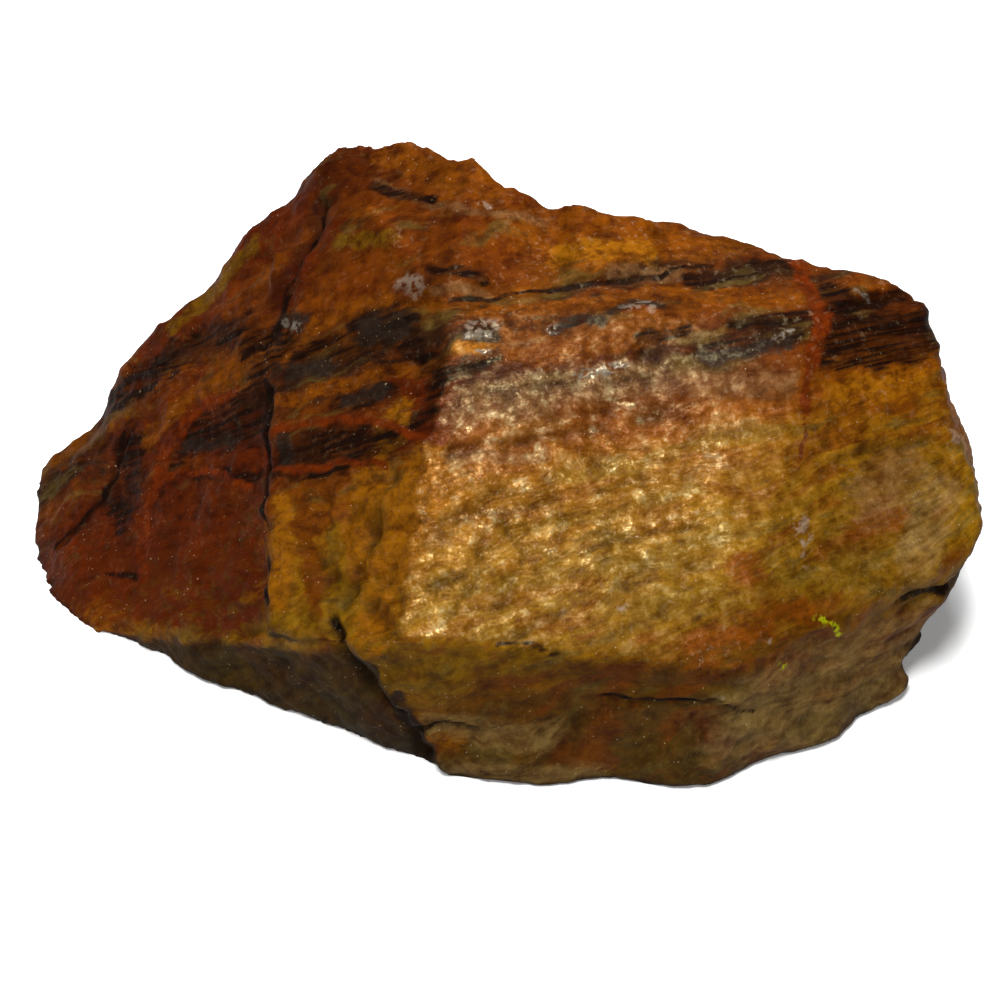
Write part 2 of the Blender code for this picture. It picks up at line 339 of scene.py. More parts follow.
def fuse(blocks):
    """One closed stone from the overlapping blocks, resampled to an even grain."""
    stone = blocks[0]
    deselect()
    stone.select_set(True)
    bpy.context.view_layer.objects.active = stone
    for block in blocks[1:]:
        union = stone.modifiers.new("fuse", "BOOLEAN")
        union.operation = "UNION"
        union.solver = "EXACT"
        union.object = block
        bpy.ops.object.modifier_apply(modifier=union.name)
        bpy.data.objects.remove(block, do_unlink=True)
    grain = stone.modifiers.new("grain", "REMESH")
    grain.mode = "VOXEL"
    grain.voxel_size = GRAIN * MM
    bpy.ops.object.modifier_apply(modifier=grain.name)
    rounding = stone.modifiers.new("rounding", "SMOOTH")
    rounding.iterations = ROUNDING_PASSES
    bpy.ops.object.modifier_apply(modifier=rounding.name)
    return stone


def bed_height(point):
    """Height of a point across the gently waved bedding."""
    return ACROSS.dot(point) + BED_WARP * noise.noise(point / BED_WARP_SCALE)


def lie(point):
    """Height across the bedding, whose lower beds climb towards the right end."""
    climb = BED_FAN * max(point.x - FAN_START, 0.0) ** 2
    return bed_height(point) - climb * smooth_step(*FAN_FADE, point.z)


def ledge(height, step):
    """Sawtooth of the split beds: each bed stands out a little and steps back at its top."""
    uneven = LEDGE_UNEVEN * noise.noise(Vector((0.0, 0.0, height / LEDGE_UNEVEN_SCALE)))
    bed = height / step + uneven
    part = bed - math.floor(bed)
    return smooth_step(*LEDGE_OUT, part) - smooth_step(*LEDGE_BACK, part)


def knobs(point):
    """Raised and chipped places along the block's edges."""
    total = 0.0
    for x, y, z, reach, height in KNOBS:
        total += height * math.exp(-(point - Vector((x, y, z))).length_squared / reach ** 2)
    return total


def cracks(point):
    """Narrow grooves where the rock has opened along a plane."""
    total = 0.0
    wander = CRACK_WANDER * noise.noise(point / CRACK_WANDER_SCALE)
    for crack in CRACKS:
        reach, width, depth = crack[5:]
        offset = point - Vector(crack[2:5])
        if offset.length < reach:
            across = offset.dot(facing(crack)) + wander
            along = smooth_step(reach, CRACK_FADE * reach, offset.length)
            total += depth * along * math.exp(-(across / width) ** 2)
    return total


def calmness(normal):
    """1 on the smooth front face, and 0 on the rough ones."""
    return smooth_step(*CALM_TURN, normal.dot(facing(FRONT)))


def relief(point, normal, height):
    """The main relief of the split block, which its solid has too."""
    rough = 1.0 - (1.0 - CALM_FACE) * calmness(normal)
    rough *= 1.0 - WORN_LOSS * smooth_step(*WORN, point.x)
    swell = SWELL_DEPTH * noise.noise(point / SWELL_SCALE)
    scallop = SCALLOP_DEPTH * noise.noise(point / SCALLOP_SCALE + SCALLOP_SHIFT)
    share = LEDGE_LEAST + (1.0 - LEDGE_LEAST) * patches(point, *LEDGE_PATCHES)
    beds = LEDGE_DEPTH * share * (ledge(height, LEDGE_STEP) - 0.5)
    return swell + rough * (scallop + beds) + knobs(point) - cracks(point)


def ridged(point):
    """Noise folded into sharp crests."""
    return 1.0 - 2.0 * abs(noise.noise(point))


def ripples(point, normal, height):
    """Sharp ripples that run down the left face."""
    share = smooth_step(*RIPPLE_TURN, normal.dot(facing(LEFT)))
    share *= smooth_step(*RIPPLE_SIDE, point.x) * smooth_step(*RIPPLE_TOP, height)
    if share == 0.0:
        return 0.0
    wave = RIPPLE_ACROSS.dot(point) / RIPPLE_WIDTH
    wave += RIPPLE_WAVER * noise.noise(point / RIPPLE_WAVER_SCALE)
    return RIPPLE_DEPTH * share * ridged(Vector((wave, height / RIPPLE_LENGTH, 0.0)))


def fine_relief(point, normal, height):
    """Splinters, crinkles, hummocks, small steps and ripples of the broken surface."""
    calm = calmness(normal)
    splinter = Vector((
        ALONG.dot(point) / SPLINTER_LENGTH,
        INTO.dot(point) / SPLINTER_LENGTH,
        height / SPLINTER_WIDTH,
    ))
    total = SPLINTER_DEPTH * (1.0 - SPLINTER_LOSS * calm) * noise.noise(splinter)
    crease = Vector((
        splinter.x * CRINKLE_SHORTER,
        splinter.y * CRINKLE_SHORTER,
        height / CRINKLE_SCALE,
    ))
    lively = CRINKLE_LEAST + CRINKLE_PATCHY * patches(point, *CRINKLE_PATCHES)
    share = CRINKLE_BASE + CRINKLE_GAIN * calm
    total += CRINKLE_DEPTH * lively * share * noise.noise(crease)
    total += CRINKLE_DEPTH * CRINKLE_ROUND * noise.noise(point / CRINKLE_SCALE)
    total += HUMMOCK_DEPTH * noise.noise(point / HUMMOCK_SCALE + HUMMOCK_SHIFT)
    steps = patches(point, *STEP_PATCHES)
    steps *= 1.0 - smooth_step(*WORN, point.x)
    total += STEP_DEPTH * steps * (1.0 - STEP_LOSS * calm) * (ledge(height, STEP_HEIGHT) - 0.5)
    return total + ripples(point, normal, height)


def hollow(point):
    """Height of the underside above the ground: flat where the stone rests, hollow between."""
    x, y, reach, height = NOTCH
    notch = height * math.exp(-((point.x - x) ** 2 + (point.y - y) ** 2) / reach ** 2)
    dip = HOLLOW_DEPTH * patches(point, *HOLLOW_PATCHES)
    return max(dip, notch - NOTCH_DROP)


def brush(places, normals, strokes):
    """How strongly strokes touch each place: 1 on a stroke's line, 0 at its reach."""
    touch = np.zeros(len(places))
    for reach, line in strokes:
        for start, end in zip(np.array(line[:-1], float), np.array(line[1:], float)):
            run = end - start
            share = np.clip((places - start) @ run / (run @ run), 0.0, 1.0)
            offset = places - start - share[:, None] * run
            lift = (offset * normals).sum(1)
            offset -= lift[:, None] * normals
            distance = np.sqrt((offset ** 2).sum(1))
            near = 1.0 - distance / reach
            near[np.abs(lift) > STROKE_DEPTH] = 0.0
            touch = np.maximum(touch, near)
    return touch


def wandering(points, reach, size):
    """The points, shifted a little by a slow noise, so that a line laid over them wavers."""
    shifts = [reach * noise.noise_vector(point / size) for point in points]
    return np.array(points) + np.array(shifts)


def store(mesh, name, values):
    """Keeps one number for each point of the mesh, for the material to read."""
    layer = mesh.attributes.new(name, "FLOAT", "POINT")
    layer.data.foreach_set("value", np.asarray(values, np.float32))


def cleft_depths(points, normals):
    """How deep the clefts cut at each point."""
    places = wandering(points, *CLEFT_WANDER)
    depths = np.zeros(len(points))
    for reach, depth, line in CLEFTS:
        touch = brush(places, normals, [(reach, line)])
        depths = np.maximum(depths, depth * touch ** CLEFT_FLARE)
    return depths


def carve(stone):
    """Moves every point along its normal by the relief, and keeps the resting side flat."""
    mesh = stone.data
    points = [vertex.co / MM for vertex in mesh.vertices]
    normals = [vertex.normal.copy() for vertex in mesh.vertices]
    clefts = cleft_depths(points, np.array(normals))
    lows = []
    for vertex, point, normal, cleft in zip(mesh.vertices, points, normals, clefts):
        height = bed_height(point)
        fine = fine_relief(point, normal, lie(point)) - cleft
        lows.append(smooth_step(*LOW, fine))
        rise = relief(point, normal, height) + fine
        move = normal * rise
        move.z *= smooth_step(0.0, BASE_FADE, point.z - BASE_SKIN)
        vertex.co += move * MM
        if point.z < BASE_SKIN or vertex.co.z < 0.0:
            vertex.co.z = hollow(point) * smooth_step(*BASE_TURN, normal.z) * MM
    mesh.update()
    # How low each place lies, for the painted shade of low places.
    store(mesh, "low", lows)
    return points, normals


# ---------------------------------------------------------------- veins, lenses and patches

# How far below or above a stroke's line the surface may lie.
STROKE_DEPTH = 4.0
# Where each colour lies on the stone, as brush strokes: the reach of the stroke to either side,
# and the places that it runs through.
STROKES = {
    # Dull red-brown of the set-back left wing and the low red patches.
    "russet": [
        (15.0, [(-55, 42, 6), (-42, 32, 14), (-34, 24, 16)]),
        (9.0, [(-48, 50, 16), (-38, 46, 24), (-32, 34, 26)]),
        (8.0, [(-47, 60.5, 24), (-38, 63, 33), (-27.5, 66, 44.5)]),
        (4.0, [(-59, 42, 2.5), (-45, 29, 6), (-30.5, 16.5, 13.5)]),
        (5.0, [(-27.5, 51, 40), (-22, 54.5, 47)]),
        (4.5, [(-12, 29, 40), (-8, 27, 41), (-9, 22, 38)]),
        (2.2, [(24.5, 0, 10.5), (27.5, 0.5, 6.5)]),
        (0.35, [(37, 24, 39), (36.5, 21.5, 36.5), (36, 19, 34.5)]),
        (2.4, [(-15.5, 23.5, 34), (-9.5, 20.5, 37.5), (-8, 16.5, 36)]),
    ],
    # Clear orange bands and the warm slope.
    "amber": [
        (2.6, [(-34, 46, 31), (-40.5, 48.5, 25), (-46.5, 49, 18.5)]),
        (2.0, [(-33, 46, 32), (-25.5, 44, 38), (-18, 42, 43), (-14, 40, 45.5)]),
        (1.5, [(-28.5, 37.5, 31.5), (-22.5, 35, 35), (-17, 33.5, 38), (-7.5, 28, 43.5)]),
        (7.0, [(6, 46, 51), (15, 47, 52), (22, 47, 51)]),
        (2.2, [(-3.5, 29, 45), (5, 28.5, 44.5), (13.5, 30, 45.5), (23, 32.5, 46)]),
        (2.4, [(23.5, 36.5, 47.5), (29.5, 38, 47), (36, 36.5, 47.5)]),
        (2.2, [(41, 29.5, 41.5), (52, 33.5, 39)]),
        (3.0, [(41, 27, 38.5), (50, 30.5, 37)]),
        (3.4, [(43.5, 15.5, 27), (48.5, 19, 26.5)]),
        (3.2, [(29, 8, 27), (32.5, 6.5, 24), (36, 7, 22)]),
        (2.2, [(22.5, 1, 22), (31.5, 3.5, 21.5)]),
        (2.0, [(-24, 25.5, 28), (-23, 17.5, 24), (-22, 9.5, 19.5)]),
        (2.6, [(-3.5, 34, 47.5), (5, 33.5, 48), (12, 35, 48), (22, 38, 48)]),
        (1.8, [(1, 31, 46.5), (12, 31, 46), (23, 34, 47)]),
        (4.5, [(-13.5, 61, 55), (-7.5, 56, 55.5), (-1.5, 51, 55)]),
    ],
    # Bright golden blocks.
    "gold": [
        (1.7, [(-4.5, 29, 45), (-1.5, 29, 45)]),
        (3.4, [(-12.5, 25.5, 38), (-18, 13, 25)]),
        (5.0, [(-8, 17, 36), (-12, 10, 28), (-14, 5, 22)]),
        (2.4, [(-26.5, 23.5, 26), (-26.5, 13, 19)]),
        (2.6, [(7.5, 43, 49.5), (12.5, 43, 51), (18, 43.5, 50.5)]),
        (2.2, [(-9, 2, 6.5), (-5, 2, 6.5)]),
        (3.0, [(41, 27.5, 39.5), (51, 32.5, 38)]),
    ],
    # Olive streaks of the front and the shaded ridges.
    "olive": [
        (1.8, [(-20.5, 51.5, 47), (-17, 49.5, 48.5), (-13.5, 47, 50)]),
        (1.7, [(-19.5, 17, 27), (-19, 10.5, 22.5)]),
        (2.4, [(-33, 63, 39.5), (-38, 63, 33), (-43.5, 62, 28.5)]),
        (1.6, [(-31.5, 17, 11.5), (-20.5, 8, 19.5)]),
        (1.6, [(7, 16.5, 34.5), (17, 18.5, 35.5), (26.5, 20.5, 37.5), (34.5, 22, 38)]),
        (1.6, [(-3.5, 5, 26.5), (7, 7, 27), (17.5, 8.5, 28.5), (28.5, 12, 30.5)]),
        (1.3, [(0, 11.5, 30.5), (12, 13, 32), (24, 15.5, 33.5)]),
        (2.4, [(41, 13, 25), (52.5, 19.5, 25)]),
        (2.2, [(26, 5, 25), (36, 9, 24.5), (44.5, 12, 23)]),
        (2.0, [(16.5, 3.5, 25), (26, 6.5, 26)]),
    ],
    # Dull grey-brown crust, low down and along the upper left rim.
    "ash": [
        (11.0, [(31, 2, 10), (43, 11, 8), (56, 28, 2)]),
        (3.5, [(-8, 4, 1), (0, 0, 2), (11, 3, 1)]),
        (3.2, [(-8, 1, 9), (-2, 2, 8), (6, 1, 8)]),
        (2.2, [(45.5, 13, 13), (52.5, 16.5, 15)]),
        (4.6, [(54, 24, 27.5), (51, 16.5, 23.5)]),
    ],
    # Lilac-grey sheen, a painted reflection, across the head of the front face.
    "lilac": [
        (2.6, [
            (-3.5, 24, 41.5), (7, 25.5, 42), (17.5, 27, 42), (26.5, 26.5, 41.5),
            (34.5, 26.5, 42),
        ]),
        (2.2, [(-5.5, 22, 40), (0, 22.5, 40.5), (5.5, 23.5, 40.5)]),
        (1.4, [(-6, 17.5, 36.5), (0, 18, 37), (5, 18.5, 36.5)]),
        (1.1, [(-16, 58, 52), (-9, 51, 53), (-5, 47.5, 53.5), (5.5, 48.5, 51.5)]),
        (1.0, [(-8, 37, 48.5), (-1.5, 37.5, 47.5)]),
        (5.0, [(45, 19.5, 29.5), (49.5, 24, 30.5)]),
        (1.6, [(14, 40, 49), (22, 41, 48.5)]),
    ],
    # Dark brown seams and blocks.
    "umber": [
        (4.4, [(-49.5, 50.5, 16.5), (-48.5, 45, 14.5)]),
        (3.6, [(-52, 47, 11.5), (-49.5, 42, 11)]),
        (4.4, [(-41.5, 45, 21.5), (-30.5, 37.5, 28)]),
        (3.0, [(-33.5, 42, 28.5), (-30, 41, 31)]),
        (1.2, [(-43, 42, 18.5), (-30.5, 31, 25)]),
        (4.6, [(-53.5, 60, 16), (-47, 57, 24), (-39.5, 55, 29.5), (-34, 51.5, 34)]),
        (3.2, [(-32, 47.5, 34), (-26.5, 45, 37), (-30.5, 43, 33)]),
        (3.4, [(-25, 41, 36), (-19.5, 38, 39), (-12.5, 35.5, 43.5)]),
        (3.0, [(-17.5, 39.5, 42), (-11.5, 36, 45)]),
        (2.2, [(-20, 32, 35.5), (-14, 29, 38.5)]),
        (4.0, [(-26, 30, 30), (-19, 25.5, 33), (-13, 23, 35.5)]),
        (1.0, [(-28, 28, 27.5), (-18, 22, 31.5)]),
        (2.4, [(-11, 32.5, 43.5), (-6.5, 27, 43), (-8, 26.5, 40.5)]),
        (1.5, [(-12, 23.5, 36.5), (-8, 23, 40)]),
        (1.1, [(-16.5, 58, 51.5), (-12.5, 54.5, 52), (-8, 51, 53.5)]),
        (1.3, [(-8.5, 40.5, 49.5), (-2, 38.5, 49)]),
        (1.6, [(23.5, 40, 47.5), (30, 42, 48), (37, 44.5, 48)]),
        (1.6, [(28, 33, 46.5), (33.5, 33.5, 46.5), (39.5, 34.5, 46.5), (50, 40.5, 46)]),
        (1.4, [(17, 31, 45.5), (23, 32, 45.5)]),
        (2.2, [(25, 30, 44), (31.5, 31, 45), (36, 31.5, 45.5)]),
        (2.8, [(40, 39, 47.5), (42.5, 37, 47)]),
        (4.6, [(41.5, 32.5, 44.5), (46.5, 34.5, 43), (52.5, 37, 42)]),
        (1.0, [(39, 29.5, 42.5), (52.5, 35, 40)]),
        (1.4, [(-4.5, 27, 43.5), (0, 28, 44.5)]),
    ],
    # Painted shade: dark lines in the cracks, creases and steps.
    "seam": [
        (0.5, [(-50.5, 52.5, 17), (-53.5, 47, 10.5), (-60, 45.5, 3.5)]),
        (0.6, [(-54, 37.5, 5), (-47, 33.5, 7.5)]),
        (1.0, [(-29.5, 41, 32), (-29, 28.5, 26), (-28.5, 14, 17)]),
        (0.5, [(-23, 61, 47.5), (-24, 55.5, 45.5), (-25.5, 52.5, 43.5), (-28.5, 51, 39.5)]),
        (0.9, [(-27, 50.5, 39.5), (-29, 46, 36)]),
        (0.55, [(-6, 35.5, 48), (5.5, 38.5, 47.5), (13, 39, 48), (26, 42.5, 48.5)]),
        (1.1, [(-20, 8, 20.5), (-18.5, 4, 19), (-14.5, 3.5, 13.5), (-10, 1.5, 9), (-9, 4.5, 3)]),
        (0.3, [(0, 0.5, 22.5), (7.5, 0, 21)]),
        (0.4, [(12, 0.5, 14), (25.5, -0.5, 14.5), (31, 2.5, 10)]),
        (0.9, [(49.5, 14.5, 18), (50.5, 15, 18.5), (55, 18.5, 16.5)]),
        (0.5, [(-9.5, 1.5, 8.5), (-6.5, 1.5, 9.5), (-2.5, 2, 8)]),
    ],
    # Blue-grey glassy lenses.
    "slate": [
        (3.0, [(-16.5, 38, 42), (-12, 36, 44.5)]),
        (2.2, [(-28, 41, 34), (-21, 37.5, 37)]),
        (1.8, [(-19, 32, 36), (-14.5, 29.5, 38.5)]),
        (1.8, [(-27, 32.5, 30.5), (-26.5, 28.5, 29)]),
        (1.8, [(-27.5, 48, 38), (-25, 45.5, 39)]),
        (1.2, [(6.5, 31, 46.5), (9, 32, 47), (12.5, 32, 47)]),
        (1.3, [(13.5, 33.5, 47.5), (16.5, 35.5, 47.5), (19.5, 35, 47.5)]),
        (1.2, [(-4, 30, 46), (-0.5, 30, 46)]),
        (1.4, [(-41, 43.5, 21), (-33.5, 38, 25.5)]),
        (1.6, [(-12, 1.5, 13), (-11, 1.5, 9.5)]),
        (1.6, [(25, 29, 43.5), (35, 30.5, 44.5)]),
    ],
    # Red-orange veins.
    "rust": [
        (1.5, [(37, 44.5, 48), (37.5, 41.5, 47.5), (38.5, 36.5, 47.5), (39, 34, 46.5)]),
        (2.0, [(39.5, 34, 46.5), (39.5, 33, 45.5)]),
        (1.5, [(39.5, 33, 45.5), (39, 31.5, 44.5), (38, 29.5, 43)]),
        (0.9, [(38, 29.5, 43), (37.5, 28, 42.5), (37, 24, 39)]),
        (1.9, [(-39.5, 47, 24.5), (-41.5, 45.5, 22), (-44, 45.5, 19), (-44.5, 42, 17)]),
        (1.5, [(-44.5, 42, 17), (-46, 40, 14), (-46.5, 37.5, 11.5), (-46.5, 33, 8)]),
        (1.0, [(-39.5, 47, 24.5), (-33.5, 44, 30)]),
        (1.0, [
            (-28, 33.5, 30.5), (-20, 29.5, 34.5), (-14.5, 26, 36.5), (-10.5, 22, 37),
            (-7, 19.5, 38),
        ]),
        (0.8, [(-28, 29, 27.5), (-22, 25, 30.5), (-13.5, 20.5, 34.5)]),
        (0.8, [(-44.5, 42, 17), (-38.5, 39, 20.5), (-31.5, 31, 23.5)]),
    ],
    # Painted highlights: bluish white glints on the lenses.
    "steel": [
        (0.9, [(6, 31, 46.5), (6.5, 31, 46.5)]),
        (0.9, [(9.5, 26.5, 42.5), (12, 27, 43), (15, 28, 43)]),
        (0.7, [(-4, 30, 46), (-1, 30.5, 46)]),
        (0.8, [(-27.5, 47.5, 37.5), (-25.5, 45, 38.5)]),
        (0.5, [(33, 31, 45.5), (35.5, 32, 45.5)]),
        (0.7, [(14.5, 34.5, 47.5), (18.5, 35.5, 47.5)]),
        (0.6, [(-2.5, 28.5, 45), (-1, 28.5, 44.5)]),
        (0.5, [(-12, 1.5, 12), (-11.5, 1.5, 10.5)]),
        (0.5, [(44, 38.5, 47.5), (46, 38, 46.5)]),
    ],
    # Small patches of clear white quartz, and painted white glints of highlight among them.
    "quartz": [
        (1.9, [(36, 14.5, 29.5), (36.5, 14, 28.5)]),
        (0.6, [(36.5, 13.5, 28.5), (36.5, 11, 25.5)]),
        (1.9, [(-12, 40.5, 47.5), (-10, 39, 48)]),
        (1.3, [(-3.5, 31, 47), (-0.5, 31.5, 47)]),
        (0.7, [(15.5, 34, 47.5), (19, 34, 47.5)]),
        (0.8, [(-2, 49, 54.5), (-1.5, 49, 54)]),
        (0.9, [(55.5, 31, 32.5), (57, 29.5, 31.5)]),
        (0.6, [(14, 3.5, 25), (15, 3.5, 25)]),
        (0.6, [(31, 3, 21), (32, 2.5, 20.5)]),
        (0.4, [(25.5, -0.5, 14.5), (26.5, -0.5, 14.5)]),
    ],
    # One yellow-green fleck.
    "lime": [
        (0.55, [(37.5, 7, 21), (38.5, 7, 20.5), (38.5, 6.5, 19.5)]),
        (0.45, [(38.5, 7, 20.5), (40, 7, 19.5), (41, 8.5, 17)]),
        (0.4, [(33, 3, 17), (34, 3.5, 16.5)]),
    ],
}

STROKE_WANDER = (0.8, 3.0)

# Where the front face and the faces like it at the right end have their silky gloss, which fades
# with the distance and as a face turns away from the front one. The same mask lays a painted
# sheen and painted light on their colour.
GLOSSY = [
    (32.0, [(-12, 8, 30), (-6, 14, 35), (14, 18, 35)]),
    (18.0, [(48, 8, 34), (57, 16, 40)]),
]
GLOSS_TURN = (0.75, 0.95)

# Painted shade: how far a face turns where its shade begins and where it is full, and the strength
# of the shade at the left and at the right. Faces that turn down and to the right are spared some
# of it.
SHADE_DOWN = (0.3, -0.1)
SHADE_LEFT = (-0.1, -0.6)
SHADE_RIGHT = (0.2, 0.4)
LEFT_STRENGTH = 0.75
RIGHT_STRENGTH = 0.4
SPARED_TURN = (0.2, 0.5)
SPARED_SHARE = 0.35
# How far a face turns down where the painted shade of the underside begins and where it is full.
UNDERSIDE_TURN = (-0.12, -0.35)


def shade(normal):
    """How much painted shade a face gets for the way it turns: down, to the left or to the right.
    """
    down = smooth_step(*SHADE_DOWN, normal.z)
    down *= 1.0 - SPARED_SHARE * smooth_step(*SPARED_TURN, normal.x)
    left = LEFT_STRENGTH * smooth_step(*SHADE_LEFT, normal.x)
    right = RIGHT_STRENGTH * smooth_step(*SHADE_RIGHT, normal.x)
    return max(down, left, right)


def mark(stone, points, normals):
    """Stores the bedding, the gloss, the painted shade and the strokes of colour on the stone."""
    mesh = stone.data
    store(mesh, "bed", [bed_height(point) for point in points])
    store(mesh, "lie", [lie(point) for point in points])
    forward = [smooth_step(*GLOSS_TURN, normal.dot(facing(FRONT))) for normal in normals]
    silky = brush(np.array(points), np.zeros((len(points), 3)), GLOSSY)
    store(mesh, "gloss", np.array(forward) * silky)
    store(mesh, "shade", [shade(normal) for normal in normals])
    store(mesh, "under", [smooth_step(*UNDERSIDE_TURN, normal.z) for normal in normals])
    places = wandering(points, *STROKE_WANDER)
    for name, strokes in STROKES.items():
        store(mesh, name, brush(places, np.array(normals), strokes))


def settle(stone):
    """Centres the stone where its solid stands, and returns how far it was moved."""
    mesh = stone.data
    places = np.zeros(len(mesh.vertices) * 3)
    mesh.vertices.foreach_get("co", places)
    places = places.reshape(-1, 3)
    low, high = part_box(NODE)
    move = (np.array(low) + np.array(high) - places.min(0) - places.max(0)) / 2
    move[2] = 0.0
    mesh.vertices.foreach_set("co", (places + move).ravel())
    mesh.update()
    return Vector(move) / MM


# ---------------------------------------------------------------- nodes and colours

# Sockets of a Mix node that mixes colours, which share their names with others.
MASK = 0
UNDER = 6
OVER = 7
MIXED = 2
WHITE = (1.0, 1.0, 1.0, 1.0)


def paint(red, green, blue):
    """A linear colour from its 0-255 screen values."""
    values = [(value / 255) / 12.92 if value < 10.3 else ((value / 255 + 0.055) / 1.055) ** 2.4
              for value in (red, green, blue)]
    return (*values, 1.0)


class Finish:
    """A material whose nodes are made by the calls below."""

    def __init__(self, name):
        self.material = bpy.data.materials.new(name)
        self.material.use_nodes = True
        self.tree = self.material.node_tree

    def node(self, kind, settings=None, sockets=None, output=0):
        """Adds a node: its settings first, then the values or links of its sockets."""
        made = self.tree.nodes.new(kind)
        for name, value in (settings or {}).items():
            if name == "stops":
                ramp = made.color_ramp
                while len(ramp.elements) < len(value):
                    ramp.elements.new(1.0)
                for element, (position, colour) in zip(ramp.elements, value):
                    element.position = position
                    element.color = colour
            else:
                setattr(made, name, value)
        self.plug(made, sockets or {})
        return Wire(self, made.outputs[output])

    def plug(self, made, sockets):
        """Gives a node's sockets their values or links."""
        for name, value in sockets.items():
            if isinstance(value, Wire):
                self.tree.links.new(value.socket, made.inputs[name])
            else:
                made.inputs[name].default_value = value

    def surface(self, sockets):
        """Gives the surface shader's sockets their values or links."""
        self.plug(self.tree.nodes["Principled BSDF"], sockets)

    def math(self, operation, *values):
        return self.node("ShaderNodeMath", {"operation": operation}, dict(enumerate(values)))

    def mix(self, mask, under, over, blend="MIX"):
        """The colour over laid on the colour under where the mask is 1."""
        return self.node(
            "ShaderNodeMix", {"data_type": "RGBA", "blend_type": blend},
            {MASK: mask, UNDER: under, OVER: over}, MIXED)

    def multiply(self, colour, tint):
        return self.mix(1.0, colour, tint, "MULTIPLY")

    def noise(self, vector, size=1.0, detail=2.0, roughness=0.5):
        """Cloudy noise around 0.5 with spots of about the given size."""
        return self.node(
            "ShaderNodeTexNoise", None,
            {"Vector": vector, "Scale": 1.0 / size, "Detail": detail, "Roughness": roughness})

    def stored(self, name):
        """A number stored on the mesh."""
        return self.node("ShaderNodeAttribute", {"attribute_name": name}, output="Fac")


class Wire:
    """An output socket; arithmetic on it adds Math nodes."""

    def __init__(self, finish, socket):
        self.finish = finish
        self.socket = socket

    def __add__(self, other):
        return self.finish.math("ADD", self, other)

    def __sub__(self, other):
        return self.finish.math("SUBTRACT", self, other)

    def __rsub__(self, other):
        return self.finish.math("SUBTRACT", other, self)

    def __mul__(self, other):
        return self.finish.math("MULTIPLY", self, other)

    def __truediv__(self, other):
        return self.finish.math("DIVIDE", self, other)

    __radd__ = __add__
    __rmul__ = __mul__

    def step(self, low, high):
        """0 below low, 1 above high and smooth between, where low may be the larger."""
        return self.finish.node(
            "ShaderNodeMapRange", {"interpolation_type": "SMOOTHSTEP"},
            {"Value": self, "From Min": low, "From Max": high})


# ---------------------------------------------------------------- the quartz

# The lowest and the highest of the heights that the colours of the beds are spread over.
BED_LOW = -10.0
BED_HIGH = 85.0
# Colours of the beds, by their height across the bedding.
STRATA = [
    (-6.0, (94, 70, 28)),
    (3.0, (100, 66, 14)),
    (9.0, (108, 64, 6)),
    (14.0, (134, 91, 10)),
    (24.0, (144, 98, 12)),
    (34.0, (142, 87, 8)),
    (38.0, (132, 68, 4)),
    (42.0, (98, 46, 4)),
    (45.0, (66, 30, 6)),
    (48.0, (80, 32, 4)),
    (51.0, (122, 58, 4)),
    (54.0, (52, 28, 12)),
    (57.5, (66, 34, 12)),
    (60.0, (126, 66, 4)),
    (63.0, (90, 40, 4)),
    (66.0, (120, 56, 3)),
    (70.0, (96, 42, 3)),
    (74.0, (122, 60, 4)),
    (78.0, (90, 36, 3)),
]
# Colours of the strokes, in the order in which they are laid on.
COLOURS = {
    "russet": (94, 32, 2),
    "amber": (124, 62, 3),
    "gold": (152, 90, 6),
    "olive": (122, 86, 8),
    "ash": (150, 116, 66),
    "lilac": (124, 84, 48),
    "umber": (32, 13, 4),
    "seam": (26, 11, 4),
    "slate": (48, 34, 26),
    "rust": (112, 40, 2),
    "steel": (126, 112, 100),
    "quartz": (150, 128, 112),
    "lime": (176, 180, 8),
}
# Colours laid over the beds in patches, as painted shade on the underside, and as painted
# highlights: silky lights, fine glinting specks and lit crests.
RED_PATCH = (118, 52, 4)
OLIVE_PATCH = (104, 84, 36)
UNDERSIDE_SHADE = (38, 29, 18)
PALE_HIGHLIGHT = (206, 186, 140)
PALE_GLINT = (205, 185, 150)
CREST_HIGHLIGHT = (214, 186, 140)
# What the colours are multiplied by where the grain is darkest and where it is lightest.
DARK_TINT = (0.26, 0.17, 0.1, 1.0)
LIGHT_TINT = (1.3, 1.42, 1.4, 1.0)

# Cloudy patterns: the size of their spots, then the octaves of the noise and their strength.
WANDER = (9.0, 1.0)
WAVER = (2.6, 0.0)
MOTTLE = (1.8, 6.0, 0.72)
CLOUD = (6.0, 4.0, 0.6)
FLECKS = (0.9, 2.0)
GLINT_SPECKS = (0.32, 0.0)
FINE = (0.8, 3.0, 0.6)
# Patterns drawn out along the beds: their length and thickness, then the octaves of the noise and
# their strength.
STREAK = (7.0, 1.2, 2.5, 0.6)
THREAD = (1.6, 0.4, 2.0, 0.5)
STRIPE = (11.0, 0.8, 2.0, 0.5)
RAGGED = (2.4, 0.9, 5.0, 0.65)
PATCH = (9.0, 3.0, 3.0, 0.6)
HUMMOCK = (2.8, 1.2, 2.0, 0.5)
SHEEN = (0.6, 4.0, 2.0, 0.5)
# How far the beds wander and waver from their height, and how far their colours are streaked.
WANDER_REACH = 5.0
WAVER_REACH = 0.9
STREAK_REACH = 4.0

# How far a stroke's edge is torn, more for the broad strokes than for the lines.
TORN = 1.5
TORN_LINE = 0.7
LINES = ("rust", "seam")
# Strokes that are laid on thinly, and how strongly.
THIN = ("olive", "lilac", "quartz")
THIN_SHARE = 0.65

INDEX_OF_REFRACTION = 1.54
SPECULAR = 0.03


